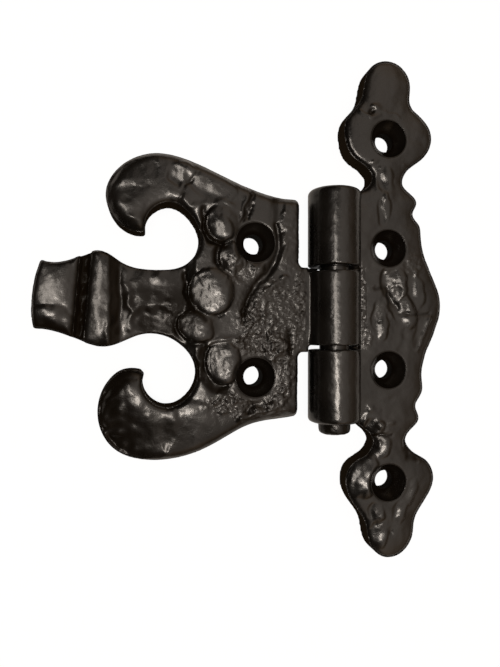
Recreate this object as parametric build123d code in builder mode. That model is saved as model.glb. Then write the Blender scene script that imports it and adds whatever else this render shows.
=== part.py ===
"""Wrought iron butterfly hinge: a fleur-de-lis leaf and a strap leaf turning on one steel pin.

The hinge lies on its back. X runs from the pin towards the strap leaf, Y along the pin and Z out of
the back face. The origin is the middle of the strap leaf's screw line, on the back face.
"""
import os
from build123d import *

# Pin and knuckles
pin_from_screws = 15.0
pin_height = 6.5
pin_r = 3.65
frame_knuckle_r = 6.5
door_knuckle_r = 6.5
pin_seat_clearance = 0.02
pin_running_clearance = 0.07
barrel_top = 29.4
top_knuckle_len = 18.8
upper_gap = 1.3
door_knuckle_len = 17.95
lower_gap = 1.05
bottom_knuckle_len = 17.85
knuckle_end_r = 1.1
knuckle_gap_r = 0.3
pin_top_sink = 0.3
pin_head_r = 3.9
pin_head_len = 3.2
pin_head_round = 1.4
pin_head_dome = 0.28

# Leaf thickness, rims and running gaps
frame_t = 5.9
frame_rim_r = 1.2
notch_gap = 0.7
door_t = 7.8
door_rim_r = 0.9
scroll_rim_r = 2.4
door_slot = 2.7
door_edge_lean = 0.45
slot_top = 10.2
slot_bottom = -10.3
slot_end_r = 1.0
shoulder_gap = 0.5
web_root = 2.0

# Screw holes
screw_r = 2.5
countersink_r = 4.75
countersink_angle = 82.0
frame_lip = 0.3
door_lip = 0.2
outer_pitch = 87.7
inner_pitch = 31.0
inner_from_middle = 0.4
door_pitch = 32.0
door_screws_from_pin = 20.2
door_screws_from_middle = -0.2

# Centre petal: heights above the back face, and places measured from the pin axis
core_h = 5.4
neck_h = 6.2
petal_h = 7.4
petal_rim_r = 0.8
collar_rim_r = 0.7
neck_rim_r = 0.3
petal_foot = -61.0
petal_lean = 5.0
petal_groove_w = 2.3
collar_w = 4.8
collar_slope = 2.5
body_edge = -36.4
body_slope = 2.0
petal_reach = 14.8
petal_low_reach = 11.5

# Cobbles on the fleur-de-lis leaf: centre, half axes and turn
cobble_h = 0.5
cobble_round = 0.4
joint_w = 0.5
joint_shift = 0.45
joint_depth = 0.55
groove_w = 1.3
crease_w = 0.7
cobbles = [
    ((-30.7, 3.9), 5.4, 5.4, 0),
    ((-34.2, -4.2), 4.4, 3.5, -20),
    ((-27.8, -12.6), 3.9, 5.1, 8),
    ((-28.3, 20.0), 3.7, 4.2, 0),
    ((-25.6, 12.1), 3.2, 3.5, 10),
]
hole_groove = [(-15.3, 20.8), (-14.9, 12.6), (-20.6, 5.3)]
disc_groove = [(-18.2, 8.2), (-21.8, 2.6), (-23.3, -3.4)]
arm_groove = [(-20.7, 25.6), (-22.3, 20.8)]

# Outline of the strap leaf, from above the top knuckle round to below the bottom one
strap_high = 30.3
strap_low = -28.9
top_finial = [
    (-5.6, 31.4), (-4.1, 34.0), (-5.6, 36.5), (-9.4, 39.0), (-11.4, 43.2), (-11.0, 48.7), (-7.4, 53.3),
    (-6.2, 58.0), (-4.6, 62.0), (0.3, 64.1), (4.4, 62.6), (6.4, 58.0), (6.6, 53.2), (9.8, 50.2),
    (12.5, 45.6), (10.3, 40.1), (4.9, 35.4),
]
strap_side = [
    (4.2, 32.8), (6.9, 30.1), (8.2, 28.1), (7.2, 25.1), (9.0, 22.4), (9.45, 20.0), (10.6, 14.1),
    (13.5, 7.6), (15.15, 1.2), (13.6, -4.9), (10.9, -11.2), (9.8, -17.0), (9.9, -20.8), (8.8, -22.8),
    (8.0, -24.4), (8.9, -27.8), (7.2, -30.3), (5.2, -32.8),
]
bottom_finial = [
    (7.1, -36.4), (11.2, -39.0), (13.1, -43.7), (10.4, -49.6), (7.7, -54.3), (6.9, -58.8), (3.4, -62.8),
    (-1.2, -63.0), (-4.6, -59.6), (-6.0, -53.9), (-9.8, -48.0), (-11.15, -43.6), (-9.5, -39.1),
    (-5.2, -36.3), (-3.65, -33.3), (-5.3, -30.7),
]

# Outline of the fleur-de-lis leaf, measured from the pin axis
fleur_top = 27.0
fleur_bottom = -25.9
upper_scroll = [
    (-16.0, 27.6), (-24.0, 30.1), (-34.0, 34.2), (-42.5, 36.0), (-50.6, 33.1), (-54.6, 26.3),
    (-52.3, 20.0), (-46.6, 17.5),
]
upper_tip = (-45.75, 18.2)
upper_opening = [
    (-44.7, 22.3), (-40.2, 24.6), (-35.0, 21.4), (-33.1, 16.4), (-36.2, 10.6), (-43.5, 8.95),
    (-50.6, 10.2), (-55.9, 12.85), (-61.0, 11.2), (-68.2, 10.5),
]
petal_end = [(-69.9, 3.5), (-69.8, -4.7)]
lower_opening = [
    (-62.6, -6.3), (-54.6, -8.75), (-46.5, -5.95), (-38.2, -7.9), (-33.9, -14.4), (-36.6, -21.0),
    (-41.2, -22.75), (-45.3, -20.3), (-46.1, -15.2),
]
lower_tip = (-46.9, -14.3)
lower_scroll = [
    (-52.3, -14.9), (-56.4, -22.6), (-52.9, -32.0), (-42.5, -35.1), (-32.0, -32.9), (-20.0, -27.3),
    (-14.0, -26.5),
]

# Places that follow from the sizes above
pin_x = -pin_from_screws
collar_foot = petal_foot + petal_groove_w
collar_ridge = collar_foot + collar_w
top_knuckle_end = barrel_top - top_knuckle_len
door_knuckle_top = top_knuckle_end - upper_gap
door_knuckle_end = door_knuckle_top - door_knuckle_len
bottom_knuckle_top = door_knuckle_end - lower_gap
barrel_bottom = bottom_knuckle_top - bottom_knuckle_len
strap_edge = pin_x + door_knuckle_r + notch_gap
fleur_edge = -(frame_knuckle_r + door_slot)
fleur_corner = (fleur_edge, fleur_top)
fleur_low_corner = (fleur_edge - door_edge_lean, fleur_bottom)
fleur_edge_run = door_edge_lean / (fleur_top - fleur_bottom)
slot_upper = (fleur_edge - fleur_edge_run * (fleur_top - slot_top - slot_end_r), slot_top + slot_end_r)
slot_lower = (fleur_edge - fleur_edge_run * (fleur_top - slot_bottom + slot_end_r), slot_bottom - slot_end_r)
shoulder_edge = -(frame_knuckle_r + shoulder_gap)
fleur_plane = Plane(origin=(pin_x, 0, 0))
wide = 200.0
near = 0.001
above = door_t + petal_h


def across_pin(y_top):
    """Plane across the pin axis at y_top; its normal points down the pin, its y up from the back."""
    return Plane(origin=(pin_x, y_top, pin_height), x_dir=(1, 0, 0), z_dir=(0, -1, 0))


def front_edges(builder, height, x_low=-wide, x_high=wide, y_low=-wide, y_high=wide):
    """Edges of a face at the given height whose middles lie within the given bounds from the pin."""
    edges = builder.edges().filter_by(lambda e: abs(e.center().Z - height) < near)
    edges = edges.filter_by(lambda e: x_low < e.center().X - pin_x < x_high)
    return edges.filter_by(lambda e: y_low < e.center().Y < y_high)


def knuckle_rims(builder, radius):
    """Round edges of the knuckles, from the lowest along the pin to the highest."""
    rims = builder.edges().filter_by(GeomType.CIRCLE).filter_by(lambda e: abs(e.radius - radius) < near)
    return rims.sort_by(Axis.Y)


# Strap leaf: lobed plate with a rounded rim, two knuckles and four countersunk holes
with BuildPart() as frame_leaf:
    with BuildSketch():
        with BuildLine():
            Spline(
                (strap_edge, strap_high), *top_finial, *strap_side, *bottom_finial, (strap_edge, strap_low)
            )
            Line((strap_edge, strap_low), (strap_edge, strap_high))
        make_face()
    extrude(amount=frame_t)
    fillet(front_edges(frame_leaf, frame_t).sort_by(SortBy.LENGTH)[-1], frame_rim_r)
    for y_top, length in ((barrel_top, top_knuckle_len), (bottom_knuckle_top, bottom_knuckle_len)):
        with BuildSketch(across_pin(y_top)):
            Circle(frame_knuckle_r)
        extrude(amount=length)
    fillet(knuckle_rims(frame_leaf, frame_knuckle_r)[1:-1], knuckle_gap_r)
    fillet(knuckle_rims(frame_leaf, frame_knuckle_r)[0], knuckle_end_r)
    fillet(knuckle_rims(frame_leaf, frame_knuckle_r)[-1], knuckle_end_r)
    for y_top, y_end in (
        (barrel_top - knuckle_end_r, top_knuckle_end + knuckle_gap_r),
        (bottom_knuckle_top - knuckle_gap_r, barrel_bottom + knuckle_end_r),
    ):
        with BuildSketch(across_pin(y_top)):
            with Locations((0, -pin_height)):
                Rectangle(strap_edge - pin_x + frame_rim_r, frame_t, align=(Align.MIN, Align.MIN))
        extrude(amount=y_top - y_end)
    with BuildSketch(across_pin(wide / 2)):
        Circle(pin_r + pin_seat_clearance)
    extrude(amount=wide, mode=Mode.SUBTRACT)
    with Locations(
        (0, outer_pitch / 2, frame_t - frame_lip),
        (0, -outer_pitch / 2, frame_t - frame_lip),
        (0, inner_from_middle + inner_pitch / 2, frame_t - frame_lip),
        (0, inner_from_middle - inner_pitch / 2, frame_t - frame_lip),
    ):
        CounterSinkHole(screw_r, countersink_r, counter_sink_angle=countersink_angle)
frame_leaf.part.label = "frame_leaf"

# Plan of the fleur-de-lis leaf: a scroll above and below, and the petal between them
with BuildSketch(fleur_plane) as fleur_plan:
    with BuildLine():
        Spline(fleur_corner, *upper_scroll)
        Line(upper_scroll[-1], upper_tip)
        Spline(upper_tip, *upper_opening)
        Spline(upper_opening[-1], *petal_end)
        Spline(petal_end[-1], *lower_opening)
        Line(lower_opening[-1], lower_tip)
        Spline(lower_tip, *lower_scroll, fleur_low_corner)
        Line(fleur_low_corner, fleur_corner)
    make_face()


# Fleur-de-lis leaf: domed scrolls and body, collared petal, cobbles, middle knuckle and two holes
with BuildPart() as door_leaf:
    with BuildSketch(fleur_plane):
        add(fleur_plan.sketch_local)
    extrude(amount=door_t)
    scroll_backs = front_edges(door_leaf, door_t, y_low=petal_reach)
    scroll_backs += front_edges(door_leaf, door_t, y_high=-petal_reach)
    fillet(scroll_backs.filter_by(lambda e: e.length > petal_reach), scroll_rim_r)
    inner_rims = front_edges(door_leaf, door_t, y_low=-petal_reach, y_high=petal_reach)
    fillet(inner_rims.filter_by(lambda e: e.length > 2 * petal_reach), door_rim_r)

    # The petal's end block, its groove and its neck stand lower than the collar and the body
    with BuildSketch(fleur_plane.offset(core_h)):
        with Locations(Location((collar_foot, 0), -petal_lean)):
            Rectangle(wide, 2 * petal_reach, align=(Align.MAX, Align.CENTER))
    extrude(amount=above, mode=Mode.SUBTRACT)
    with BuildSketch(Plane(origin=(pin_x, petal_reach, 0), x_dir=(1, 0, 0), z_dir=(0, -1, 0))):
        with BuildLine():
            Polyline(
                (collar_ridge, above), (collar_ridge, door_t), (collar_ridge + collar_slope, neck_h),
                (body_edge, neck_h), (body_edge + body_slope, door_t), (body_edge + body_slope, above),
                close=True,
            )
        make_face()
    extrude(amount=petal_reach + petal_low_reach, mode=Mode.SUBTRACT)
    with BuildSketch(fleur_plane):
        add(fleur_plan.sketch_local)
        with Locations(Location((petal_foot, 0), -petal_lean)):
            Rectangle(wide, 2 * petal_reach, align=(Align.MAX, Align.CENTER), mode=Mode.INTERSECT)
    extrude(amount=petal_h)
    fillet(front_edges(door_leaf, petal_h), petal_rim_r)
    neck_rims = front_edges(door_leaf, neck_h, collar_ridge + collar_slope + near, body_edge - near)
    fillet(neck_rims, neck_rim_r)
    fillet(front_edges(door_leaf, door_t, petal_foot, collar_foot + petal_groove_w / 2), collar_rim_r)

    # Joints cut round the cobbles and across the body, and the cobbles standing up between them
    with BuildSketch(fleur_plane.offset(door_t)):
        for (x, y), half_x, half_y, turn in cobbles:
            with Locations(Location((x - joint_shift, y - joint_shift), turn)):
                Ellipse(half_x + joint_w, half_y + joint_w)
        for groove in (hole_groove, disc_groove):
            with BuildLine():
                ThreePointArc(*groove)
            trace(line_width=groove_w)
        with BuildLine():
            Line(*arm_groove)
        trace(line_width=crease_w)
    extrude(amount=-joint_depth, mode=Mode.SUBTRACT)
    with BuildSketch(fleur_plane.offset(neck_h - joint_depth)):
        for place, half_x, half_y, turn in cobbles:
            with Locations(Location(place, turn)):
                Ellipse(half_x, half_y)
    extrude(amount=door_t + cobble_h - neck_h + joint_depth)
    fillet(front_edges(door_leaf, door_t + cobble_h), cobble_round)

    # Middle knuckle, and the web that joins it to the leaf
    with BuildSketch(across_pin(door_knuckle_top)):
        Circle(door_knuckle_r)
    extrude(amount=door_knuckle_len)
    fillet(knuckle_rims(door_leaf, door_knuckle_r), knuckle_gap_r)
    with BuildSketch(fleur_plane):
        with BuildLine():
            TangentArc(slot_upper, (slot_upper[0] + slot_end_r, slot_top), tangent=(0, -1))
            Polyline(
                (slot_upper[0] + slot_end_r, slot_top), (shoulder_edge, slot_top),
                (shoulder_edge, slot_bottom), (slot_lower[0] + slot_end_r, slot_bottom),
            )
            TangentArc((slot_lower[0] + slot_end_r, slot_bottom), slot_lower, tangent=(-1, 0))
            Polyline(
                slot_lower, (fleur_edge - web_root, slot_lower[1]), (fleur_edge - web_root, slot_upper[1]),
                slot_upper,
            )
        make_face()
        with Locations((0, (door_knuckle_top + door_knuckle_end) / 2)):
            Rectangle(-shoulder_edge, door_knuckle_len - 2 * knuckle_gap_r, align=(Align.MAX, Align.CENTER))
    extrude(amount=door_t)
    with BuildSketch(across_pin(wide / 2)):
        Circle(pin_r + pin_running_clearance)
    extrude(amount=wide, mode=Mode.SUBTRACT)
    with Locations(
        (pin_x - door_screws_from_pin, door_screws_from_middle + door_pitch / 2, door_t - door_lip),
        (pin_x - door_screws_from_pin, door_screws_from_middle - door_pitch / 2, door_t - door_lip),
    ):
        CounterSinkHole(screw_r, countersink_r, counter_sink_angle=countersink_angle)
door_leaf.part.label = "door_leaf"

# Pin: sunk a little at the top, with a hammered head under the bottom knuckle
with BuildPart() as hinge_pin:
    with BuildSketch(Plane(origin=(pin_x, 0, pin_height))):
        with BuildLine():
            Polyline(
                (0, barrel_bottom - pin_head_len), (0, barrel_top - pin_top_sink),
                (pin_r, barrel_top - pin_top_sink), (pin_r, barrel_bottom), (pin_head_r, barrel_bottom),
                (pin_head_r, barrel_bottom - pin_head_len + pin_head_round),
            )
            Spline(
                (pin_head_r, barrel_bottom - pin_head_len + pin_head_round),
                (pin_head_r - pin_head_round, barrel_bottom - pin_head_len + pin_head_dome),
                (0, barrel_bottom - pin_head_len),
                tangents=((0, -1), (-1, 0)),
            )
        make_face()
    revolve(axis=Axis((pin_x, 0, pin_height), (0, 1, 0)))
hinge_pin.part.label = "hinge_pin"

os.makedirs("parts", exist_ok=True)
for piece in (frame_leaf, door_leaf, hinge_pin):
    export_step(piece.part, f"parts/{piece.part.label}.step")
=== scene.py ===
"""Wrought iron hinge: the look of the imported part, made in the part's own frame.

Each leaf is remade from its solid as one skin, and relief is beaten into that skin. The cobbles,
joints, creases and dents are in the tables below. The hammer marks and the sand grain follow a rule.
Turned cups line the screw holes. Numbers in the tables are millimetres in the part's frame.
"""

import math

import bmesh
import bpy
import numpy as np
from mathutils import Matrix, Vector, kdtree


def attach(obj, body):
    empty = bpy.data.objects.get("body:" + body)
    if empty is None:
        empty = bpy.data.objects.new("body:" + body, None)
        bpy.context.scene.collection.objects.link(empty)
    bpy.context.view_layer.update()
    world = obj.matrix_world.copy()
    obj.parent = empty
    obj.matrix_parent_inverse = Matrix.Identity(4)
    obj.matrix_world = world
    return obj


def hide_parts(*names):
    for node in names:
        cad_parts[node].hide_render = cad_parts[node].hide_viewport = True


bl_info = {
    "name": "Wrought Iron Hinge",
    "version": (1, 0, 0),
    "blender": (4, 5, 0),
    "location": "3D View > Sidebar > Hinge",
    "description": "Hammered skins, turned screw cups, a headed pin and a soft studio for the hinge",
    "category": "Object",
}

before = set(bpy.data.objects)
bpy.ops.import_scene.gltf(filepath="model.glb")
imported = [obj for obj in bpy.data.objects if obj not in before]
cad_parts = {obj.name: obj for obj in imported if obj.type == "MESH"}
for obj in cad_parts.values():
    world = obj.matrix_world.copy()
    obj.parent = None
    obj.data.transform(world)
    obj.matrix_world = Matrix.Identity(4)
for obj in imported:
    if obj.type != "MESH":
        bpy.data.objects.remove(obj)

MM = 0.001

# The pin's axis, the knuckles' radius with 0.1 to spare, and the barrel's ends
PIN_X, PIN_Z = -15.0, 6.5
BARREL_R = 6.6
BARREL_LOW, BARREL_HIGH = -27.55, 29.4

# Soft lamps: name, place and size in metres, share of the lamp power
LAMPS = [
    ("soft_lamp", (-0.191, 0.058, 0.60), (0.15, 0.13), 0.75),
    ("low_lamp", (-0.096, -0.078, 0.60), (0.13, 0.05), 1.05),
]
LAMP_COLOUR = (1.0, 0.90, 0.80)
LAMP_AIM = (-0.03, 0.0, 0.0)

# The floor's half side and height, and the camera's place and turn, in metres
FLOOR_HALF, FLOOR_LEVEL = 3.0, -0.0001
CAMERA_MATRIX = (
    (0.97905, 0.0, -0.20364, -0.060638),
    (0.0002, 1.0, 0.00096, -0.005676),
    (0.20364, -0.00098, 0.97905, 0.1235),
    (0.0, 0.0, 0.0, 1.0),
)
SENSOR_WIDTH, CLIP_START, CLIP_END = 36.0, 0.01, 20.0

# Colours that no setting changes
WHITE = (1.0, 1.0, 1.0, 1.0)
# Dull brown down the walls: a painted brown reflection, with painted shade
PAINTED_WALL_BROWN = (0.024, 0.018, 0.012, 1.0)
SKY_LOW, SKY_HIGH = (1.0, 0.70, 0.46, 1.0), (1.0, 0.87, 0.76, 1.0)

# Screw holes: (x, y, front face height, depth of the straight lip, bore radius)
FRAME_HOLES = [
    (0, 43.85, 5.9, 0.3, 2.47), (0, 15.9, 5.9, 0.3, 2.47), (0, -15.1, 5.9, 0.3, 2.47),
    (0, -43.85, 5.9, 0.3, 2.47),
]
DOOR_HOLES = [(-35.2, 15.8, 7.8, 0.2, 2.42), (-35.2, -16.2, 7.8, 0.2, 2.42)]

# Countersinks: the cone's slope in degrees and radius at its top, and the steps around a cup
SINK_SLOPE, SINK_R, CUP_STEPS = 41.0, 4.65, 72

# How far in from its outline a leaf's face falls away, and by how much; share of the mark depth
DOOR_PILLOW, DOOR_MARKS = (3.6, 0.35), 0.9
FRAME_PILLOW, FRAME_MARKS = (5.5, 0.75), 1.7
SOFTEN_ROUNDS = 60
FACET_SHARPNESS = 0.6

# The pin: side of a face in metres, rounds of smoothing, where its head ends, and its own marks
PIN_CELL, PIN_SMOOTHING = 0.00025, 3
PIN_HEAD = (-27.6, -26.8)
PIN_MARKS = {
    "Mark Size": 0.0022, "Mark Depth": 0.00026, "Grain Size": 0.0006, "Grain Depth": 0.00008,
    "Seed": 11.0,
}

# Raised and sunk spots: centre, half sizes, turn in degrees, height, sharpness
DOOR_DOMES = [
    ((-45.6, 3.8), (5.3, 5.3), 0, 0.30, 1.0),
    ((-49.3, -4.5), (4.3, 3.4), -20, 0.24, 1.0),
    ((-42.4, -12.6), (3.9, 5.1), 8, 0.26, 1.0),
    ((-43.2, 19.8), (3.7, 4.2), 0, 0.22, 1.0),
    ((-40.8, 12.2), (3.2, 3.6), 10, 0.12, 1.0),
    ((-83.0, 4.2), (7.3, 9.0), -5, 0.62, 1.0),
    ((-71.2, 3.5), (2.5, 13.0), -5, 0.14, 1.0),
    ((-59.0, -2.8), (5.6, 3.6), -8, -0.45, 1.0),
    ((-46.2, 29.6), (5.2, 2.6), -22, 0.16, 1.0),
    ((-54.7, 26.6), (1.6, 0.9), 0, 0.12, 1.5),
    ((-64.2, 26.6), (4.6, 2.4), 25, -0.14, 1.0),
    ((-62.5, 20.4), (2.6, 1.2), -10, 0.16, 1.5),
    ((-66.6, 20.2), (2.0, 1.0), 40, -0.14, 1.5),
    ((-46.3, -22.7), (2.4, 1.8), 20, 0.16, 1.5),
    ((-42.3, -23.7), (1.3, 0.9), -30, 0.22, 1.5),
    ((-39.9, -21.4), (1.5, 0.8), 30, 0.22, 1.5),
    ((-37.5, -20.9), (0.9, 0.7), 0, 0.20, 1.5),
    ((-37.5, -23.3), (1.0, 0.7), 40, 0.18, 1.5),
    ((-35.1, -21.5), (0.9, 0.7), -20, 0.18, 1.5),
    ((-54.2, -26.0), (1.6, 2.4), 0, 0.09, 1.0),
    ((-59.8, -26.6), (1.4, 3.0), 10, 0.08, 1.0),
    ((-56.9, -26.9), (1.2, 3.0), -8, -0.06, 1.0),
]
DOOR_LINES = [
    ([(-49.4, 31.4), (-51.6, 28.1), (-53.4, 24.8)], 0.36, -0.26),
    ([(-52.7, 25.9), (-50.7, 23.7), (-48.4, 23.6), (-46.1, 25.0), (-42.5, 24.9), (-39.5, 23.6)],
     0.75, 0.22),
    ([(-37.3, 26.6), (-38.3, 23.3), (-39.0, 20.9)], 0.45, 0.22),
    ([(-35.7, 27.6), (-36.9, 24.0), (-38.3, 20.5)], 0.42, -0.30),
    ([(-47.4, 22.9), (-47.4, 19.4), (-45.9, 16.0), (-42.6, 14.9)], 0.95, -0.40),
    ([(-43.3, 15.2), (-44.6, 13.7), (-44.6, 11.4), (-43.0, 9.6)], 0.60, -0.32),
    ([(-51.6, 8.3), (-51.2, 3.7), (-49.4, 0.2), (-46.9, -2.0)], 0.60, -0.40),
    ([(-29.7, 26.1), (-29.6, 19.0), (-30.2, 14.2), (-31.4, 10.5), (-33.5, 7.8), (-36.0, 5.4),
      (-38.1, 0.0)], 1.50, -0.34),
    ([(-28.0, 24.0), (-27.9, 18.0), (-28.3, 12.0)], 0.60, 0.12),
    ([(-27.4, 8.0), (-30.5, 5.8), (-32.9, 4.6), (-34.6, 1.6)], 0.50, 0.24),
    ([(-47.4, -9.6), (-47.9, -12.5), (-47.2, -16.0), (-45.3, -18.4), (-42.3, -18.9)], 1.0, -0.42),
    ([(-46.4, -8.3), (-43.5, -7.0), (-39.9, -7.0)], 0.50, 0.26),
    ([(-27.0, -5.3), (-26.8, -8.0), (-26.6, -10.6)], 0.50, -0.42),
    ([(-38.6, -26.2), (-35.1, -24.4), (-31.5, -23.9), (-27.6, -24.1)], 0.95, 0.48),
    ([(-38.1, -25.0), (-35.1, -22.6), (-32.1, -21.8)], 0.60, -0.22),
    ([(-65.3, 8.4), (-65.6, 5.9), (-64.4, 3.7), (-64.8, 1.4), (-63.7, -0.7), (-64.2, -4.4)],
     0.80, 0.20),
    ([(-66.6, 8.1), (-67.1, 4.0), (-65.9, 1.8), (-66.8, -0.9), (-67.1, -4.1)], 0.90, -0.24),
    ([(-63.9, 1.4), (-62.2, 6.8), (-57.0, 7.6)], 2.0, 0.22),
    ([(-62.4, 1.4), (-58.0, 1.8), (-54.0, 1.0)], 1.7, 0.20),
    ([(-68.8, 11.5), (-68.6, 3.5), (-69.3, -7.2)], 0.45, 0.12),
    ([(-73.7, 12.6), (-75.8, -11.5)], 0.90, -0.45),
    ([(-71.0, -14.0), (-72.4, -19.0), (-71.8, -26.0), (-68.0, -32.0)], 4.4, -1.15),
    ([(-69.4, 33.0), (-71.4, 26.0), (-70.0, 20.0)], 3.4, -0.70),
]
FRAME_DOMES = [
    ((-4.9, 50.5), (1.5, 0.8), 20, -0.45, 1.5),
    ((-3.4, 51.5), (2.0, 1.2), 20, 0.20, 1.5),
    ((-3.9, 37.8), (1.5, 1.0), 40, 0.30, 1.5),
    ((-2.2, 36.4), (0.8, 0.6), 0, 0.20, 1.5),
    ((4.4, 37.6), (0.8, 0.5), 0, 0.14, 1.5),
    ((3.2, 11.8), (0.8, 0.7), 0, 0.22, 1.5),
    ((5.5, 13.0), (0.8, 0.7), 0, 0.22, 1.5),
    ((-0.3, 9.8), (0.9, 0.6), 0, 0.20, 1.5),
    ((-2.7, 9.6), (0.5, 0.5), 0, 0.20, 1.5),
    ((-4.1, 6.0), (0.6, 0.4), 0, 0.18, 1.5),
    ((7.6, 9.6), (0.7, 1.1), 30, 0.22, 1.5),
    ((8.4, 11.6), (0.8, 0.7), 0, 0.20, 1.5),
    ((-2.4, -29.2), (1.3, 0.9), 0, 0.34, 1.5),
    ((-2.9, -31.2), (1.2, 0.9), 20, 0.30, 1.5),
    ((0.6, -28.6), (1.4, 0.8), 10, 0.22, 1.5),
    ((-2.6, -34.0), (1.0, 1.3), 0, 0.26, 1.5),
    ((0.3, -22.6), (2.0, 1.1), 10, -0.14, 1.0),
    ((-5.2, -24.6), (1.5, 1.3), 0, 0.22, 1.5),
    ((8.6, -39.0), (0.8, 0.5), 0, 0.24, 1.5),
    ((-2.6, -53.8), (1.9, 1.2), 20, -0.22, 1.5),
    ((0.7, -56.6), (0.8, 1.2), 20, -0.20, 1.5),
    ((4.2, -48.8), (2.6, 1.6), -35, 0.12, 1.0),
]
FRAME_LINES = [
    ([(-7.6, 50.0), (-4.9, 48.9), (-2.6, 49.6)], 0.45, 0.26),
    ([(-4.2, 51.8), (-2.0, 50.6), (0.4, 50.2), (2.9, 49.4)], 0.40, 0.13),
    ([(-3.6, 5.5), (-0.8, 6.0), (0.8, 3.5), (3.1, -0.5), (6.4, -1.0), (11.3, -0.6)], 0.55, -0.28),
    ([(4.6, -4.0), (4.2, -8.7), (2.5, -11.8)], 0.70, -0.16),
    ([(11.7, -1.7), (9.9, -6.1), (8.0, -10.3)], 0.60, 0.22),
    ([(-6.4, -27.6), (-5.0, -25.4), (-2.6, -25.2)], 0.45, 0.20),
    ([(-3.9, -31.6), (-0.4, -31.9), (0.7, -31.7)], 0.35, -0.22),
    ([(5.0, -33.6), (5.4, -37.4), (8.0, -38.2)], 0.70, -0.30),
    ([(-6.6, -36.4), (-9.6, -40.0), (-10.2, -44.0)], 0.60, 0.15),
]

# Flats that lean: centre, half sizes, turn, and how far the face leans across and along, in degrees
DOOR_FACETS = [
    ((-52.6, 31.2), (3.6, 3.0), 20, (-9.0, -9.0)),
    ((-45.8, 28.8), (6.6, 3.4), -20, (-5.5, -3.5)),
    ((-62.5, 31.0), (5.0, 3.5), 10, (2.0, 4.0)),
    ((-65.8, 27.0), (6.0, 8.0), 0, (0.0, 4.0)),
    ((-64.4, 19.6), (3.4, 1.8), -10, (-3.0, -5.0)),
    ((-62.5, -26.0), (9.0, 10.0), 0, (-2.0, -8.0)),
    ((-51.0, -28.0), (7.0, 7.0), 0, (-1.0, -6.0)),
    ((-82.0, -5.2), (7.0, 5.6), -5, (0.0, -13.0)),
    ((-46.0, 3.8), (5.8, 5.8), 0, (-9.5, 0.0)),
    ((-49.8, -4.5), (4.8, 4.0), -20, (-9.5, 3.0)),
    ((-43.2, -12.6), (4.4, 5.6), 8, (-10.5, 4.0)),
    ((-44.4, 18.2), (3.8, 4.0), 0, (-11.0, -4.0)),
    ((-41.4, 12.0), (3.6, 4.0), 10, (-11.0, -2.0)),
    ((-36.6, 9.6), (4.0, 3.6), 40, (-12.0, -1.0)),
    ((-32.4, -8.4), (5.6, 3.4), -10, (-12.0, 3.0)),
    ((-33.0, -22.8), (5.8, 2.2), 15, (-12.0, 7.0)),
    ((-29.0, -16.0), (2.6, 5.0), 0, (-9.0, 3.0)),
]
FRAME_FACETS = [
    ((1.4, 7.0), (3.8, 5.2), 15, (-19.0, 3.0)),
    ((3.6, 0.8), (3.4, 6.0), 30, (-19.0, 3.0)),
    ((7.4, 5.4), (2.6, 5.0), 20, (-14.0, 0.0)),
    ((-2.4, -2.6), (2.2, 5.4), 5, (-17.0, 4.0)),
    ((-1.3, 26.1), (1.8, 4.6), 0, (-18.0, -4.0)),
    ((-0.8, 33.2), (2.2, 3.6), 0, (-12.0, -5.0)),
    ((-7.6, -41.0), (5.4, 6.6), 30, (-20.0, 10.0)),
    ((-2.6, -34.5), (3.4, 3.2), 20, (-18.0, 8.0)),
    ((-3.8, -29.4), (2.6, 2.4), 0, (-20.0, 6.0)),
    ((5.6, -46.6), (2.2, 4.0), -25, (-15.0, 8.0)),
    ((2.9, -51.4), (1.9, 3.2), -10, (-14.0, 8.0)),
    ((-3.4, -51.4), (2.2, 3.0), 15, (-14.0, 8.0)),
    ((-2.8, -57.0), (2.4, 3.4), 15, (-12.0, 8.0)),
    ((9.4, -4.6), (1.8, 5.4), -20, (-12.0, 3.0)),
]

# Sunk lines and dark patches of painted shade, where the finish is dulled and darkened: line, width,
# share
DOOR_SHADE_LINES = [
    ([(-73.7, 13.0), (-76.0, -12.0)], 1.35, 0.96),
    ([(-66.6, 8.1), (-67.1, 4.0), (-66.2, 1.8), (-66.8, -0.9), (-67.1, -5.5)], 0.80, 0.70),
    ([(-47.6, 23.4), (-47.5, 19.4), (-46.0, 15.8), (-42.8, 14.7)], 0.90, 0.80),
    ([(-44.0, 14.9), (-45.1, 13.2), (-45.0, 11.0)], 0.80, 0.75),
    ([(-52.0, 8.3), (-51.8, 3.7), (-50.2, -0.2), (-47.2, -2.6)], 0.70, 0.80),
    ([(-47.6, -8.6), (-48.4, -12.5), (-47.8, -16.4), (-45.3, -19.0), (-42.0, -19.3)], 1.05, 0.85),
    ([(-30.3, 26.1), (-30.2, 19.0), (-30.8, 14.2), (-32.0, 10.5), (-34.1, 7.8), (-36.4, 5.4),
      (-37.5, 2.7)], 0.70, 0.55),
    ([(-36.4, 5.0), (-37.3, 2.7), (-38.1, -1.4)], 1.0, 0.75),
    ([(-27.0, -5.3), (-26.8, -8.0), (-26.6, -10.6)], 0.60, 0.9),
    ([(-36.2, 27.0), (-37.0, 24.0), (-38.0, 21.0)], 0.50, 0.75),
    ([(-49.4, 31.4), (-51.6, 28.1), (-53.4, 24.8)], 0.35, 0.55),
    ([(-60.6, -3.4), (-54.5, -4.4)], 2.8, 0.84),
    ([(-61.5, 1.0), (-54.0, 1.0)], 6.0, 0.68),
    ([(-68.0, 10.0), (-69.6, -9.0)], 2.6, 0.40),
    ([(-84.5, -4.6), (-77.5, -5.8)], 2.4, 0.75),
    ([(-46.0, -29.5), (-36.0, -27.0)], 3.2, 0.40),
    ([(-72.5, -12.0), (-74.0, -19.0), (-73.5, -27.0), (-69.0, -33.5)], 4.2, 0.70),
    ([(-69.0, -14.0), (-68.5, -22.0), (-64.0, -29.0), (-55.0, -29.5)], 5.5, 0.50),
    ([(-70.5, 32.0), (-72.0, 26.0), (-69.5, 20.5)], 3.0, 0.40),
]
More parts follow.
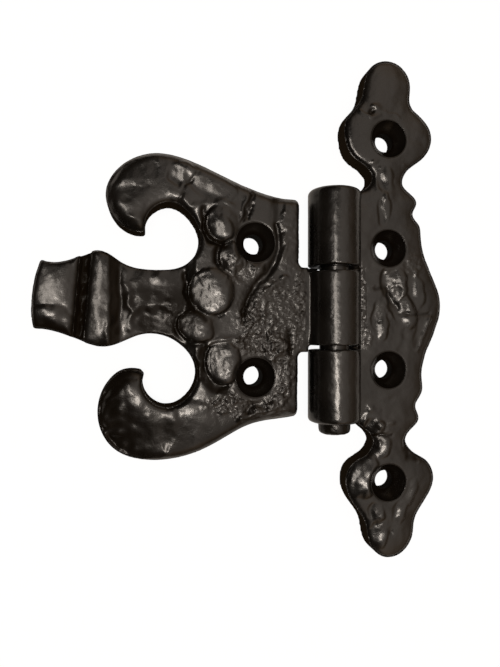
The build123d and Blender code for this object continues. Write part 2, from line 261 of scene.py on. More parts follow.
FRAME_SHADE_LINES = [
    ([(-3.6, 5.5), (-0.8, 6.0), (0.8, 3.5)], 0.45, 0.55),
    ([(3.1, -0.5), (6.4, -1.0), (11.3, -0.6)], 0.40, 0.45),
    ([(-3.9, -31.6), (-0.4, -31.9), (0.7, -31.7)], 0.40, 0.7),
    ([(5.0, -33.6), (5.4, -37.4), (8.0, -38.2)], 0.80, 0.6),
    ([(-4.9, 50.5), (-4.7, 50.6)], 0.9, 0.7),
]

# Rims that have flowed together with what is beside them: centre, half sizes, share
DOOR_SOFT = [
    ((-40.4, 4.6), (1.9, 4.4), 1.0), ((-42.2, 8.6), (2.6, 1.6), 1.0),
    ((-45.3, -4.8), (1.7, 2.8), 1.0),
    ((-38.8, -11.6), (1.7, 4.6), 1.0), ((-41.8, -7.8), (3.2, 1.5), 1.0),
    ((-39.7, 20.6), (1.6, 3.4), 1.0), ((-42.0, 23.9), (3.0, 1.3), 0.8),
    ((-37.6, 11.4), (1.8, 3.0), 1.0), ((-39.6, 9.0), (2.2, 1.4), 1.0),
]

# Places where the casting is smooth: centre, half sizes, share
DOOR_CALM = [
    ((-61.0, -25.0), (13.0, 11.0), 0.75),
    ((-63.0, 27.0), (11.0, 9.0), 0.40),
    ((-42.0, -28.0), (9.0, 4.5), 0.50),
]
FRAME_CALM = [
    ((-7.6, -41.0), (5.0, 6.0), 0.70),
    ((-3.0, 57.0), (4.5, 7.0), 0.70),
    ((-8.0, 45.0), (3.5, 5.0), 0.60),
]

# Flash of the casting between the knuckles, beside the pin: centre and size
DOOR_FLASH = [((-20.55, 9.55, 2.9), (3.3, 1.5, 5.2))]
FRAME_FLASH = [((-9.4, 10.4, 2.5), (3.6, 1.6, 5.0)), ((-9.4, -9.625, 2.5), (3.6, 1.35, 5.0))]

# Places where the casting is coarse: centre, half sizes, share
DOOR_ROUGH = [
    ((-33.0, -8.2), (7.0, 3.2), 2.0),
    ((-31.5, -1.0), (8.0, 8.0), 1.2),
    ((-36.0, -1.8), (3.4, 3.0), 2.2),
    ((-38.2, -22.2), (8.5, 3.0), 1.5),
    ((-38.6, 9.4), (5.0, 4.0), 0.9),
    ((-29.6, -15.5), (4.4, 9.0), 1.3),
    ((-46.0, 4.1), (5.2, 5.0), 0.26),
    ((-49.0, -4.4), (4.0, 3.0), 0.30),
    ((-43.0, -12.8), (4.5, 5.5), 0.24),
    ((-43.5, 20.0), (4.2, 4.2), 0.16),
    ((-26.4, 12.0), (2.6, 14.0), 0.6),
    ((-24.4, 0.0), (1.8, 9.5), 1.3),
    ((-52.5, -1.5), (3.4, 3.6), 0.5),
]
FRAME_ROUGH = [
    ((-7.1, 1.5), (0.9, 9.5), 1.3),
    ((-6.0, -7.0), (1.6, 2.4), 1.1),
    ((1.8, 4.5), (3.6, 6.5), 0.35),
    ((-1.0, -2.0), (3.0, 4.5), 0.35),
    ((6.5, 12.0), (3.4, 2.6), 0.9),
    ((-2.2, -30.0), (3.2, 3.4), 0.6),
    ((-1.0, 30.0), (2.6, 5.0), 0.25),
    ((-1.5, -53.5), (3.4, 3.4), 0.3),
]


class HingeSkinSettings(bpy.types.PropertyGroup):
    """Sizes of the two hammered skins."""

    cell: bpy.props.FloatProperty(
        name="Skin Cell", description="Side of one face of a leaf's skin", default=0.00034, min=0.0002,
        unit="LENGTH", precision=5,
    )
    smoothing: bpy.props.IntProperty(
        name="Smoothing", description="Rounds of smoothing before the relief", default=4, min=0, max=20,
    )
    mark_size: bpy.props.FloatProperty(
        name="Hammer Mark", description="Width of one soft hammer mark", default=0.0042, min=0.0005,
        unit="LENGTH", precision=5,
    )
    mark_depth: bpy.props.FloatProperty(
        name="Mark Depth", description="Depth of the soft hammer marks", default=0.00016, min=0.0,
        unit="LENGTH", precision=6,
    )
    grain_size: bpy.props.FloatProperty(
        name="Coarse Grain", description="Width of the lumps where the casting is coarse",
        default=0.0009, min=0.0002, unit="LENGTH", precision=5,
    )
    grain_depth: bpy.props.FloatProperty(
        name="Grain Depth", description="Height of those lumps", default=0.00045, min=0.0,
        unit="LENGTH", precision=6,
    )
    seed: bpy.props.FloatProperty(
        name="Seed", description="Chooses another pattern of hammer marks and grain", default=3.0,
    )


class HingeFinishSettings(bpy.types.PropertyGroup):
    """Colours and gloss of the black finish."""

    lacquer: bpy.props.FloatVectorProperty(
        name="Lacquer", description="Colour of the black finish", subtype="COLOR", size=4,
        default=(0.0035, 0.0030, 0.0025, 1.0), min=0.0, max=1.0,
    )
    dust: bpy.props.FloatVectorProperty(
        name="Dull Lacquer", description="Colour where the finish is dull and thin", subtype="COLOR",
        size=4, default=(0.0140, 0.0120, 0.0105, 1.0), min=0.0, max=1.0,
    )
    # Wall colour: a painted brown reflection down the walls; it also colours the painted shade in the
    # creases and the pits
    edge: bpy.props.FloatVectorProperty(
        name="Side Walls", description="Colour of the painted brown reflection down the walls", subtype="COLOR",
        size=4, default=(0.0070, 0.0045, 0.0022, 1.0), min=0.0, max=1.0,
    )
    roughness: bpy.props.FloatProperty(
        name="Roughness", description="Roughness of the smooth finish", default=0.25, min=0.0, max=1.0,
        subtype="FACTOR",
    )
    coat: bpy.props.FloatProperty(
        name="Clear Coat", description="Share of clear coat over the finish", default=0.25, min=0.0,
        max=1.0, subtype="FACTOR",
    )


class HingeStageSettings(bpy.types.PropertyGroup):
    """Floor, light and camera."""

    floor: bpy.props.FloatVectorProperty(
        name="Floor", description="Colour of the floor", subtype="COLOR", size=4,
        default=(0.80, 0.79, 0.77, 1.0), min=0.0, max=1.0,
    )
    floor_white: bpy.props.FloatProperty(
        name="White Share", description="Share of plain white in the floor as it is seen", default=0.88,
        min=0.0, max=1.0, subtype="FACTOR",
    )
    lamp: bpy.props.FloatProperty(
        name="Lamp", description="Power of the soft lamp above the hinge", default=0.85, min=0.0,
        unit="POWER",
    )
    sky: bpy.props.FloatProperty(
        name="Room Light", description="Strength of the even light of the room", default=0.85, min=0.0,
    )
    lens: bpy.props.FloatProperty(
        name="Lens", description="Focal length of the camera", default=26.99, min=1.0, subtype="NONE",
    )


class Socket:
    """One output of a node. Arithmetic written on it in Python adds the Math nodes that work it out."""

    def __init__(self, tree, output):
        self.tree = tree
        self.output = output

    def of(self, name):
        """Another output of the same node."""
        return Socket(self.tree, self.output.node.outputs[name])

    def math(self, operation, other, turned=False):
        """This value and another through a Math node, in turned order if asked."""
        values = (other, self) if turned else (self, other)
        return self.tree.node("ShaderNodeMath", {"operation": operation}, dict(enumerate(values)))

    def __add__(self, other):
        return self.math("ADD", other)

    def __radd__(self, other):
        return self.math("ADD", other, True)

    def __sub__(self, other):
        return self.math("SUBTRACT", other)

    def __rsub__(self, other):
        return self.math("SUBTRACT", other, True)

    def __mul__(self, other):
        return self.math("MULTIPLY", other)

    def __rtruediv__(self, other):
        return self.math("DIVIDE", other, True)

    def between(self, low, high, to_low=0.0, to_high=1.0):
        """This value spread from low..high to to_low..to_high with soft ends."""
        return self.tree.node(
            "ShaderNodeMapRange", {"interpolation_type": "SMOOTHSTEP"},
            {"Value": self, "From Min": low, "From Max": high, "To Min": to_low, "To Max": to_high},
        )


class Tree:
    """A shader or geometry tree that nodes are added to."""

    def __init__(self, tree):
        self.tree = tree

    def node(self, kind, settings=None, inputs=None):
        """Adds a node: its settings first, then the values or links of its sockets."""
        made = self.tree.nodes.new(kind)
        for name, value in (settings or {}).items():
            setattr(made, name, value)
        for name, value in (inputs or {}).items():
            if isinstance(value, Socket):
                self.tree.links.new(value.output, made.inputs[name])
            else:
                made.inputs[name].default_value = value
        return Socket(self, made.outputs[0]) if made.outputs else None

    def mix(self, share, first, second):
        """One colour blended into another by share."""
        made = self.node(
            "ShaderNodeMix", {"data_type": "RGBA", "clamp_factor": True},
            {0: share, 6: first, 7: second},
        )
        return Socket(self, made.output.node.outputs[2])


def ease(values, low, high):
    """0 below low, 1 above high, smooth between."""
    t = np.clip((values - low) / (high - low), 0.0, 1.0)
    return t * t * (3.0 - 2.0 * t)


def to_line(points, line):
    """Distance of each plan point to a line through several points."""
    nearest = np.full(len(points), np.inf)
    for start, end in zip(line[:-1], line[1:]):
        a, run = np.array(start, float), np.array(end, float) - np.array(start, float)
        t = np.clip(((points - a) @ run) / (run @ run), 0.0, 1.0)
        nearest = np.minimum(nearest, np.linalg.norm(points - a - t[:, None] * run, axis=1))
    return nearest


def oval(plan, centre, half, turn):
    """Each plan point's offset from a turned oval's centre, and its share: 1 there, 0 from the rim."""
    offset = plan - np.array(centre)
    c, s = math.cos(math.radians(turn)), math.sin(math.radians(turn))
    across = (offset[:, 0] * c + offset[:, 1] * s) / half[0]
    along = (offset[:, 1] * c - offset[:, 0] * s) / half[1]
    return offset, np.clip(1.0 - across**2 - along**2, 0.0, None)


def wander(plan, amount, length, seed):
    """A smooth uneven number over the plan, made of a few waves of about one length."""
    chance = np.random.default_rng(seed)
    total = np.zeros(len(plan))
    waves = 8
    for _ in range(waves):
        turn, start = chance.uniform(0.0, 2.0 * math.pi, 2)
        pace = 2.0 * math.pi / (length * chance.uniform(0.6, 1.6))
        total += np.sin(pace * (plan[:, 0] * math.cos(turn) + plan[:, 1] * math.sin(turn)) + start)
    return amount * total * math.sqrt(2.0 / waves)


class Skin:
    """The vertices of a leaf's skin, in millimetres, while relief is beaten into them."""

    def __init__(self, piece):
        self.mesh = piece.data
        count = len(self.mesh.vertices)
        flat = np.empty(count * 3)
        self.mesh.vertices.foreach_get("co", flat)
        self.place = flat.reshape(-1, 3) / MM
        ends = np.empty(len(self.mesh.edges) * 2, np.int64)
        self.mesh.edges.foreach_get("vertices", ends)
        self.ends = ends.reshape(-1, 2)
        self.neighbours = np.bincount(self.ends.ravel(), minlength=count).astype(float)

    def normals(self):
        """Normal of each vertex as the mesh was last stored."""
        flat = np.empty(len(self.place) * 3)
        self.mesh.vertices.foreach_get("normal", flat)
        return flat.reshape(-1, 3)

    def around(self, axis):
        """Sum of one coordinate over the neighbours of each vertex."""
        count, values = len(self.place), self.place[:, axis]
        total = np.zeros(count)
        for here, there in ((0, 1), (1, 0)):
            total += np.bincount(self.ends[:, here], values[self.ends[:, there]], count)
        return total

    def pull(self, share):
        """Each vertex drawn towards the middle of its neighbours, or away where share is below 0."""
        total = np.stack([self.around(axis) for axis in range(3)], axis=1)
        self.place += share * (total / self.neighbours[:, None] - self.place)

    def smooth(self, rounds):
        """Rounds of smoothing that keep the size."""
        for _ in range(rounds):
            self.pull(0.5)
            self.pull(-0.51)
        self.store()

    def soften(self, spots, holes, rounds):
        """Lets the front face flow together in spots, as where a cobble's rim is filled."""
        share = self.spots(spots) * self.away_from_holes(holes, 5.2, 6.2)
        share = share * ease(self.normals()[:, 2], 0.1, 0.4)
        for _ in range(rounds):
            self.place[:, 2] += 0.6 * share * (self.around(2) / self.neighbours - self.place[:, 2])
        self.store()

    def store(self):
        """Writes the places back to the mesh."""
        self.mesh.vertices.foreach_set("co", (self.place * MM).ravel())
        self.mesh.update()

    def off_barrel(self, near, far):
        """0 on the knuckles, and 1 from the far distance off the pin, or past the barrel's ends."""
        off_pin = np.hypot(self.place[:, 0] - PIN_X, self.place[:, 2] - PIN_Z)
        past_end = np.maximum(BARREL_LOW - self.place[:, 1], self.place[:, 1] - BARREL_HIGH)
        return np.maximum(ease(off_pin, near, far), ease(past_end, 0.3, 1.0))

    def pillow(self, holes, reach, drop):
        """Lets the front face fall away towards its outline, as a casting's does."""
        normals = self.normals()
        off_barrel = self.off_barrel(BARREL_R + 0.4, BARREL_R + 0.9)
        clear = (self.away_from_holes(holes, 5.6, 5.8) > 0.5) & (off_barrel > 0.99)
        edge = np.flatnonzero((np.abs(normals[:, 2]) < 0.25) & clear & (self.place[:, 2] > 2.0))[::3]
        front = np.flatnonzero((normals[:, 2] > 0.3) & (off_barrel > 0.01))
        tree = kdtree.KDTree(len(edge))
        for index, place in enumerate(self.place[edge]):
            tree.insert((place[0], place[1], 0.0), index)
        tree.balance()
        away = np.array([tree.find((x, y, 0.0))[2] for x, y in self.place[front, :2]])
        self.place[front, 2] -= drop * np.clip(1.0 - away / reach, 0.0, 1.0) ** 2
        self.store()

    def relief(self, domes, lines, facets, holes):
        """Raised and sunk spots, lines and leaning flats, on front faces only and not at the holes."""
        true_plan, height = self.place[:, :2], np.zeros(len(self.place))
        plan = true_plan + np.stack([wander(true_plan, 0.16, 3.0, seed) for seed in (1, 2)], axis=1)
        for centre, half, turn, rise, sharp in domes:
            _, share = oval(plan, centre, half, turn)
            height += rise * share**sharp
        for centre, half, turn, lean in facets:
            offset, share = oval(plan, centre, half, turn)
            slope = offset @ -np.tan(np.radians(np.array(lean)))
            height += slope * share**FACET_SHARPNESS
        for line, width, rise in lines:
            depth = rise * (1.0 + wander(true_plan, 0.25, 4.0, 5))
            height += depth * np.exp(-((to_line(plan, line) / width) ** 2))
        front = ease(self.normals()[:, 2], 0.30, 0.85) * self.away_from_holes(holes, 4.9, 6.0)
        self.place[:, 2] += height * front * self.off_barrel(BARREL_R, BARREL_R + 0.6)
        self.store()

    def away_from_holes(self, holes, near, far):
        """0 within the near distance of a hole's middle, and 1 from the far distance."""
        away = np.ones(len(self.place))
        for x, y, *_ in holes:
            away *= ease(np.linalg.norm(self.place[:, :2] - np.array((x, y)), axis=1), near, far)
        return away

    def spots(self, spots):
        """Share of each spot over the skin, the largest where they meet."""
        share = np.zeros(len(self.place))
        for centre, half, amount in spots:
            offset = (self.place[:, :2] - np.array(centre)) / np.array(half)
            share = np.maximum(share, amount * ease(1.35 - np.linalg.norm(offset, axis=1), 0.0, 0.6))
        return share

    def shade_lines(self, lines):
        """Share of each line over the skin where painted shade dulls and darkens the finish."""
        share = np.zeros(len(self.place))
        for line, width, amount in lines:
            near = np.exp(-((to_line(self.place[:, :2], line) / width) ** 4))
            share = np.maximum(share, amount * near)
        return share

    def keep(self, name, values):
        """Keeps a value for each vertex, for the trees that read it by name."""
        made = self.mesh.attributes.new(name, "FLOAT", "POINT")
        made.data.foreach_set("value", values.astype(np.float32))


def link(piece):
    """Puts an object into the scene."""
    bpy.context.scene.collection.objects.link(piece)
    return piece


def finished(piece):
    """The piece's evaluated shape as a plain mesh, with its modifiers gone."""
    bpy.context.view_layer.update()
    graph = bpy.context.evaluated_depsgraph_get()
    mesh = bpy.data.meshes.new_from_object(piece.evaluated_get(graph), depsgraph=graph)
    piece.modifiers.clear()
    piece.data = mesh
    mesh.name = piece.name
    return piece


def copy_of(node, name):
    """A copy of a solid's mesh with its loose triangles merged."""
    piece = link(bpy.data.objects.new(name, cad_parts[node].data.copy()))
    piece.data.materials.clear()
    work = bmesh.new()
    work.from_mesh(piece.data)
    bmesh.ops.remove_doubles(work, verts=work.verts, dist=1e-7)
    work.to_mesh(piece.data)
    work.free()
    return piece


def skin_of(node, name, cell, blocks=()):
    """An even skin of small faces over a solid and the blocks that were cast onto it."""
    piece = copy_of(node, name)
    work = bmesh.new()
    work.from_mesh(piece.data)
    for centre, size in blocks:
        sides = Matrix.Diagonal((*(Vector(size) / 1000.0), 1.0))
        shape = Matrix.Translation(Vector(centre) / 1000.0) @ sides
        bmesh.ops.create_cube(work, size=1.0, matrix=shape)
    work.to_mesh(piece.data)
    work.free()
    remesh = piece.modifiers.new("Even Skin", "REMESH")
    remesh.mode = "VOXEL"
    remesh.voxel_size = cell
    remesh.use_smooth_shade = True
    return finished(piece)


def keep_inside(piece, node):
    """Holds a skin inside the box of its solid."""
    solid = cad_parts[node].data
    corners = np.empty(len(solid.vertices) * 3)
    solid.vertices.foreach_get("co", corners)
    corners = corners.reshape(-1, 3)
    places = np.empty(len(piece.data.vertices) * 3)
    piece.data.vertices.foreach_get("co", places)
    places = np.clip(places.reshape(-1, 3), corners.min(axis=0), corners.max(axis=0))
    piece.data.vertices.foreach_set("co", places.ravel())
    piece.data.update()


def geometry_tree(name, numbers):
    """A geometry tree with a geometry in and out, a material and named numbers."""
    group = bpy.data.node_groups.new(name, "GeometryNodeTree")
    ports = group.interface
    ports.new_socket("Geometry", in_out="OUTPUT", socket_type="NodeSocketGeometry")
    ports.new_socket("Geometry", in_out="INPUT", socket_type="NodeSocketGeometry")
    ports.new_socket("Material", in_out="INPUT", socket_type="NodeSocketMaterial")
    for number, start in numbers.items():
        kind = "NodeSocketVector" if hasattr(start, "__len__") else "NodeSocketFloat"
        ports.new_socket(number, in_out="INPUT", socket_type=kind).default_value = start
    return Tree(group)


def run_tree(piece, tree, values):
    """Runs a geometry tree on a piece with these inputs, and keeps the plain mesh."""
    modifier = piece.modifiers.new(tree.tree.name, "NODES")
    modifier.node_group = tree.tree
    for item in tree.tree.interface.items_tree:
        if item.in_out == "INPUT" and item.name in values:
            modifier[item.identifier] = values[item.name]
    return finished(piece)


def close_tree(tree, geometry, material):
    """The end of every geometry tree: instances made real, and the material set."""
    real = tree.node("GeometryNodeRealizeInstances", None, {"Geometry": geometry})
    shaded = tree.node("GeometryNodeSetMaterial", None, {"Geometry": real, "Material": material})
    tree.node("NodeGroupOutput", None, {"Geometry": shaded})
    return tree


def hammer_tree():
    """Soft hammer marks and coarse grain, pushed along the normals by the shares kept on the skin."""
    tree = geometry_tree("Hammer Marks", {
        "Mark Size": 0.004, "Mark Depth": 0.0001, "Grain Size": 0.001, "Grain Depth": 0.0002,
        "Seed": 0.0,
    })
    given = tree.node("NodeGroupInput")
    place = tree.node("GeometryNodeInputPosition")

    def noise(size, detail, shift):
        return tree.node(
            "ShaderNodeTexNoise", {"noise_dimensions": "4D"},
            {"Vector": place, "W": given.of("Seed") + shift, "Scale": 1.0 / size, "Detail": detail},
        )

    def share(name):
        return tree.node("GeometryNodeInputNamedAttribute", {"data_type": "FLOAT"}, {"Name": name})

    marks = (noise(given.of("Mark Size"), 1.0, 0.0) - 0.5) * 2.0
    marks = marks * given.of("Mark Depth") * share("marks")
    lumps = (noise(given.of("Grain Size"), 2.0, 7.0) - 0.5) * 2.0
    lumps = lumps * given.of("Grain Depth") * share("grain")
    push = tree.node(
        "ShaderNodeVectorMath", {"operation": "SCALE"},
        {0: tree.node("GeometryNodeInputNormal"), "Scale": marks + lumps},
    )
    moved = tree.node(
        "GeometryNodeSetPosition", None, {"Geometry": given.of("Geometry"), "Offset": push},
    )
    return close_tree(tree, moved, given.of("Material"))


def cup_row_tree():
    """One screw cup repeated along a row of holes."""
    tree = geometry_tree("Screw Cups", {
        "Holes": 2.0, "First Hole": (0.0, 0.0, 0.0), "Pitch": (0.0, 0.0, 0.0),
    })
    given = tree.node("NodeGroupInput")
    row = tree.node(
        "GeometryNodeMeshLine", {"mode": "OFFSET", "count_mode": "TOTAL"},
        {"Count": given.of("Holes"), "Start Location": given.of("First Hole"),
         "Offset": given.of("Pitch")},
    )
    cups = tree.node(
        "GeometryNodeInstanceOnPoints", None, {"Points": row, "Instance": given.of("Geometry")},
    )
    return close_tree(tree, cups, given.of("Material"))


def black_finish(name, look):
    """Black lacquer over cast iron: gloss that varies, dull in clouds and where the casting is coarse,
    fine grain, and painted shade that dulls and darkens the creases and walls, with a painted brown
    reflection down the walls.
    """
    made = bpy.data.materials.new(name)
    made.use_nodes = True
    made.node_tree.nodes.clear()
    tree = Tree(made.node_tree)
    place = tree.node(
        "ShaderNodeVectorMath", {"operation": "SCALE"},
        {0: tree.node("ShaderNodeTexCoord").of("Object"), "Scale": 1000.0},
    )

    def noise(size, detail):
        return tree.node(
            "ShaderNodeTexNoise", {"noise_dimensions": "3D"},
            {"Vector": place, "Scale": 1.0 / size, "Detail": detail, "Roughness": 0.5},
        )

    def share(name):
        return tree.node("ShaderNodeAttribute", {"attribute_name": name}).of("Fac")

    clouds = noise(9.0, 3.0).between(0.35, 0.70)
    specks = noise(0.5, 2.0).between(0.58, 0.72)
    coarse, wall, dull_painted_shade = share("grain"), share("wall"), share("dull_painted_shade")
    dull = clouds * 0.45 + coarse * 0.35 + specks * coarse * 0.5
    colour = tree.mix(dull, tuple(look.lacquer), tuple(look.dust))
    # Painted brown reflection down the walls
    colour = tree.mix(wall * 0.85, colour, tuple(look.edge))
    rough = look.roughness + clouds * 0.06 + coarse * 0.04 + wall * 0.08
    peel = tree.node(
        "ShaderNodeBump", None, {"Strength": 0.6, "Distance": 0.00010, "Height": noise(1.6, 2.0)},
    )
    lumps = tree.node(
        "ShaderNodeBump", None,
        {"Strength": 0.9, "Distance": 0.00020, "Height": noise(1.1, 1.5) * coarse, "Normal": peel},
    )
    grain = tree.node(
        "ShaderNodeBump", None,
        {"Strength": 0.8, "Distance": 0.00005, "Height": noise(0.35, 2.0) * (0.25 + coarse * 1.2),
         "Normal": lumps},
    )
    glossy = tree.node(
        "ShaderNodeBsdfPrincipled", None,
        {"Base Color": colour, "Roughness": rough, "Coat Weight": look.coat, "Coat Roughness": 0.12,
         "IOR": 1.5, "Normal": grain},
    )
    # Dull dark finish without gloss: painted shade in the creases and down the walls, the walls'
    # painted brown reflection, and the coarse casting's pits
    dull_shade_and_pits = tree.node(
        "ShaderNodeBsdfPrincipled", None,
        {"Base Color": tree.mix(wall, tuple(look.edge), PAINTED_WALL_BROWN), "Roughness": 0.7,
         "Specular IOR Level": 0.0, "Normal": grain},
    )
    pits = noise(0.7, 2.0).between(0.56, 0.66) * coarse.between(0.5, 1.6) * 0.8
    # Share of that dull finish: painted shade, walls and pits
    shade_and_pits_share = dull_painted_shade.math("MAXIMUM", wall).math("MAXIMUM", pits)
    shader = tree.node("ShaderNodeMixShader", None, {0: shade_and_pits_share, 1: glossy, 2: dull_shade_and_pits})
    tree.node("ShaderNodeOutputMaterial", None, {"Surface": shader})
    return made


def skin_leaf(node, name, body, marks, holes, pillow, depth, blocks=()):
    """Makes a leaf's hammered skin and lets it stand for the leaf's solid."""
    scene = bpy.context.scene
    sizes, look = scene.hinge_skin, scene.hinge_finish
    domes, lines, facets, rough_spots, shade_lines, soft_spots, calm_spots = marks
    piece = skin_of(node, name, sizes.cell, blocks)
    skin = Skin(piece)
    skin.smooth(sizes.smoothing)
    skin.soften(soft_spots, holes, SOFTEN_ROUNDS)
    skin.pillow(holes, *pillow)
    skin.relief(domes, lines, facets, holes)
    normals = skin.normals()
    front = ease(normals[:, 2], 0.1, 0.7)
    barrel = 1.0 - skin.off_barrel(BARREL_R, BARREL_R + 0.8)
    back = 1.0 - ease(normals[:, 2], -0.8, -0.4)
    clear = skin.away_from_holes(holes, 4.8, 6.2)
    calm = 1.0 - skin.spots(calm_spots)
    coarse = np.maximum(skin.spots(rough_spots) * (1.0 - barrel), 0.10)
    skin.keep("marks", depth * (0.35 + 0.65 * front) * clear * (1.0 - 0.65 * barrel) * calm)
    skin.keep("grain", coarse * front * clear + 0.3 * back)
    # Walls: painted shade and a painted brown reflection
    skin.keep("wall", (1.0 - ease(normals[:, 2], 0.15, 0.6)) * (1.0 - back) * (1.0 - barrel))
    # Painted shade in the creases and dark patches
    skin.keep("dull_painted_shade", skin.shade_lines(shade_lines) * (1.0 - barrel))
    material = black_finish(name.replace("_skin", "_lacquer"), look)
    run_tree(piece, hammer_tree(), {
        "Material": material, "Mark Size": sizes.mark_size, "Mark Depth": sizes.mark_depth,
        "Grain Size": sizes.grain_size, "Grain Depth": sizes.grain_depth, "Seed": sizes.seed,
    })
    keep_inside(piece, node)
    piece.data.shade_smooth()
    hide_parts(node)
    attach(piece, body)


def lathe(name, section, steps):
    """A closed ring turned about Z from its section: (radius, height) pairs in millimetres."""
    work = bmesh.new()
    rings = []
    for step in range(steps):
        turn = 2.0 * math.pi * step / steps
        c, s = math.cos(turn), math.sin(turn)
        rings.append([work.verts.new((r * MM * c, r * MM * s, z * MM)) for r, z in section])
    for step in range(steps):
        here, there = rings[step], rings[(step + 1) % steps]
        for i in range(len(section)):
            j = (i + 1) % len(section)
            work.faces.new((here[i], there[i], there[j], here[j]))
    bmesh.ops.recalc_face_normals(work, faces=work.faces)
    mesh = bpy.data.meshes.new(name)
    work.to_mesh(mesh)
    work.free()
    mesh.shade_smooth()
    return link(bpy.data.objects.new(name, mesh))


def cup_section(face, lip, bore):
    """Section of the lining of a countersunk hole, from its rim down to the back."""
    slope = math.tan(math.radians(SINK_SLOPE))
    cone_top = face - lip
    cone_foot = cone_top - (SINK_R - bore) / slope
    inner = [
        (4.92, face + 0.02), (4.78, face + 0.04), (4.68, face - 0.02), (SINK_R, face - 0.12),
        (SINK_R, cone_top + 0.03), (4.62, cone_top - 0.04), (3.5, cone_top - (SINK_R - 3.5) / slope),
        (bore + 0.04, cone_foot + 0.06), (bore, cone_foot - 0.02), (bore, 0.02),
    ]
    outer = [
        (bore + 0.1, 0.02), (bore + 0.1, cone_foot + 0.02), (4.85, cone_top + 0.05), (5.0, face - 0.10),
    ]
    return inner + outer


class HINGE_OT_door_leaf(bpy.types.Operator):
    """Make the hammered skin of the fleur-de-lis leaf"""

    bl_idname = "hinge.door_leaf"
    bl_label = "Fleur-de-lis Leaf"

    def execute(self, context):
        marks = (DOOR_DOMES, DOOR_LINES, DOOR_FACETS, DOOR_ROUGH, DOOR_SHADE_LINES, DOOR_SOFT, DOOR_CALM)
        skin_leaf(
            "door_leaf", "door_leaf_skin", "door", marks, DOOR_HOLES, DOOR_PILLOW, DOOR_MARKS,
            DOOR_FLASH,
        )
        return {"FINISHED"}


class HINGE_OT_frame_leaf(bpy.types.Operator):
    """Make the hammered skin of the strap leaf"""

    bl_idname = "hinge.frame_leaf"
    bl_label = "Strap Leaf"

    def execute(self, context):
        marks = (FRAME_DOMES, FRAME_LINES, FRAME_FACETS, FRAME_ROUGH, FRAME_SHADE_LINES, [], FRAME_CALM)
        skin_leaf(
            "frame_leaf", "frame_leaf_skin", "frame", marks, FRAME_HOLES, FRAME_PILLOW, FRAME_MARKS,
            FRAME_FLASH,
        )
        return {"FINISHED"}


class HINGE_OT_screw_cups(bpy.types.Operator):
    """Line the countersunk screw holes of both leaves"""

    bl_idname = "hinge.screw_cups"
    bl_label = "Screw Cups"

    def execute(self, context):
        material = black_finish("cup_lacquer", context.scene.hinge_finish)
        tree = cup_row_tree()
        rows = [
            ("frame_cups_outer", "frame", FRAME_HOLES[0], FRAME_HOLES[3]),
            ("frame_cups_inner", "frame", FRAME_HOLES[1], FRAME_HOLES[2]),
            ("door_cups", "door", DOOR_HOLES[0], DOOR_HOLES[1]),
        ]
        for name, body, first, last in rows:
            x, y, face, lip, bore = first
            cup = lathe(name, cup_section(face, lip, bore), CUP_STEPS)
            lining = Skin(cup)
            radius = np.hypot(lining.place[:, 0], lining.place[:, 1])
            # Painted shade: the bore dulled and darkened most, the cone less
            lining.keep("dull_painted_shade", 0.95 - 0.5 * ease(radius, bore, bore + 0.3))
            step = [(b - a) * MM for a, b in zip(first[:2], last[:2])] + [0.0]
            run_tree(cup, tree, {
                "Material": material, "Holes": 2.0, "First Hole": (x * MM, y * MM, 0.0), "Pitch": step,
            })
            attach(cup, body)
        return {"FINISHED"}


class HINGE_OT_pin(bpy.types.Operator):
    """Make the hinge pin with its hammered head"""

    bl_idname = "hinge.pin"
    bl_label = "Hinge Pin"

    def execute(self, context):
        piece = skin_of("hinge_pin", "pin_skin", PIN_CELL)
        skin = Skin(piece)
        skin.smooth(PIN_SMOOTHING)
        head = 1.0 - ease(skin.place[:, 1], *PIN_HEAD)
        skin.keep("marks", 0.9 * head)
        skin.keep("dull_painted_shade", 0.45 * head)
        skin.keep("grain", 0.5 * head)
        skin.keep("wall", np.zeros(len(skin.place)))
        material = black_finish("pin_lacquer", context.scene.hinge_finish)
        run_tree(piece, hammer_tree(), {"Material": material, **PIN_MARKS})
        keep_inside(piece, "hinge_pin")
        piece.data.shade_smooth()
        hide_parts("hinge_pin")
        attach(piece, "frame")
        return {"FINISHED"}


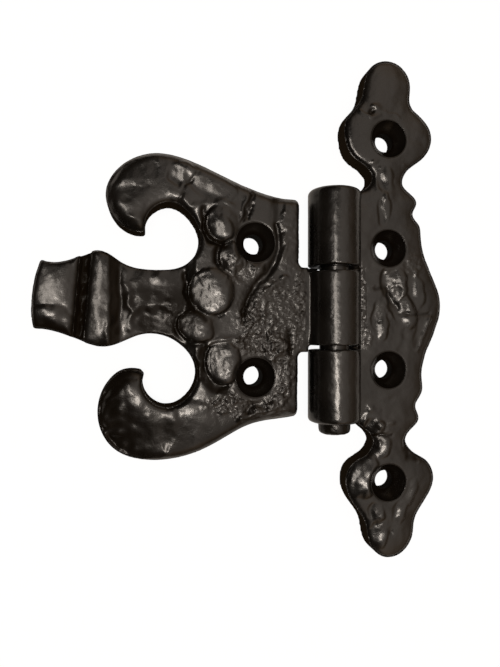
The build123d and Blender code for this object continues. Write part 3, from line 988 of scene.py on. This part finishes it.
class HINGE_OT_stage(bpy.types.Operator):
    """Make the floor, the soft light and the camera"""

    bl_idname = "hinge.stage"
    bl_label = "Stage"

    def execute(self, context):
        setup = context.scene.hinge_stage
        floor_mesh = bpy.data.meshes.new("floor")
        sides = ((-1, -1), (1, -1), (1, 1), (-1, 1))
        corners = [(x * FLOOR_HALF, y * FLOOR_HALF, FLOOR_LEVEL) for x, y in sides]
        floor_mesh.from_pydata(corners, [], [(0, 1, 2, 3)])
        floor = link(bpy.data.objects.new("floor", floor_mesh))
        floor_mesh.materials.append(self.floor_finish(setup))

        for name, place, size, power in LAMPS:
            lamp_data = bpy.data.lights.new(name, "AREA")
            lamp_data.shape = "RECTANGLE"
            lamp_data.size, lamp_data.size_y = size
            lamp_data.energy = setup.lamp * power
            lamp_data.color = LAMP_COLOUR
            lamp = link(bpy.data.objects.new(name, lamp_data))
            lamp.location = place
            aim = Vector(LAMP_AIM) - lamp.location
            lamp.rotation_euler = aim.to_track_quat("-Z", "Y").to_euler()

        self.room(context.scene, setup)
        eye = bpy.data.cameras.new("camera")
        eye.lens, eye.sensor_width = setup.lens, SENSOR_WIDTH
        eye.clip_start, eye.clip_end = CLIP_START, CLIP_END
        camera = link(bpy.data.objects.new("camera", eye))
        camera.matrix_world = Matrix(CAMERA_MATRIX)
        context.scene.camera = camera
        context.scene.view_settings.view_transform = "Standard"
        return {"FINISHED"}

    def floor_finish(self, setup):
        """Pale floor that is seen nearly white and still shows the object's shadow."""
        made = bpy.data.materials.new("pale_floor")
        made.use_nodes = True
        made.node_tree.nodes.clear()
        tree = Tree(made.node_tree)
        rays = tree.node("ShaderNodeLightPath")
        plain = tree.node(
            "ShaderNodeBsdfPrincipled", None, {"Base Color": tuple(setup.floor), "Roughness": 0.9},
        )
        white = tree.node("ShaderNodeEmission", None, {"Color": WHITE, "Strength": 1.08})
        seen = rays.of("Is Camera Ray").math("MAXIMUM", rays.of("Is Glossy Ray") * 0.1)
        share = seen * setup.floor_white
        mixed = tree.node("ShaderNodeMixShader", None, {0: share, 1: plain, 2: white})
        tree.node("ShaderNodeOutputMaterial", None, {"Surface": mixed})
        return made

    def room(self, scene, setup):
        """Even light from above, less towards the horizon and one side, and white to the camera."""
        world = bpy.data.worlds.new("room")
        world.use_nodes = True
        world.node_tree.nodes.clear()
        tree = Tree(world.node_tree)
        generated = tree.node("ShaderNodeTexCoord").of("Generated")
        way = tree.node("ShaderNodeSeparateXYZ", None, {0: generated})
        rays = tree.node("ShaderNodeLightPath")
        across = way.of("X").between(-0.12, 0.17, 0.05, 1.0)
        across = across * way.of("X").between(0.25, 0.85, 1.0, 0.45)
        strength = way.of("Z").between(0.1, 0.8, 0.25, 1.0) * across * setup.sky
        camera = rays.of("Is Camera Ray")
        glow = strength * (1.0 - camera) + camera
        warmth = tree.mix(way.of("Z").between(0.3, 0.9), SKY_LOW, SKY_HIGH)
        colour = tree.mix(camera, warmth, WHITE)
        sky = tree.node("ShaderNodeBackground", None, {"Color": colour, "Strength": glow})
        tree.node("ShaderNodeOutputWorld", None, {"Surface": sky})
        scene.world = world


class HINGE_PT_sidebar(bpy.types.Panel):
    """Hinge settings and steps in the 3D view's sidebar."""

    bl_label = "Wrought Iron Hinge"
    bl_idname = "HINGE_PT_sidebar"
    bl_space_type = "VIEW_3D"
    bl_region_type = "UI"
    bl_category = "Hinge"

    def draw(self, context):
        layout = self.layout
        groups = (("Skin", "hinge_skin"), ("Finish", "hinge_finish"), ("Stage", "hinge_stage"))
        for title, group in groups:
            box = layout.box()
            box.label(text=title)
            settings = getattr(context.scene, group)
            for name in settings.__annotations__:
                box.prop(settings, name)
        for step in STEPS:
            layout.operator(step.bl_idname)


STEPS = (HINGE_OT_door_leaf, HINGE_OT_frame_leaf, HINGE_OT_screw_cups, HINGE_OT_pin, HINGE_OT_stage)
GROUPS = (HingeSkinSettings, HingeFinishSettings, HingeStageSettings)
CLASSES = GROUPS + STEPS + (HINGE_PT_sidebar,)


def register():
    """Adds the add-on's classes and the scene's settings."""
    for made in CLASSES:
        bpy.utils.register_class(made)
    bpy.types.Scene.hinge_skin = bpy.props.PointerProperty(type=HingeSkinSettings)
    bpy.types.Scene.hinge_finish = bpy.props.PointerProperty(type=HingeFinishSettings)
    bpy.types.Scene.hinge_stage = bpy.props.PointerProperty(type=HingeStageSettings)


def unregister():
    """Takes them away again."""
    del bpy.types.Scene.hinge_skin, bpy.types.Scene.hinge_finish, bpy.types.Scene.hinge_stage
    for made in reversed(CLASSES):
        bpy.utils.unregister_class(made)


def main():
    """Builds the look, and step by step."""
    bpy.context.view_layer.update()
    register()
    bpy.ops.hinge.door_leaf()
    bpy.ops.hinge.frame_leaf()
    bpy.ops.hinge.screw_cups()
    bpy.ops.hinge.pin()
    bpy.ops.hinge.stage()


if __name__ == "__main__":
    main()
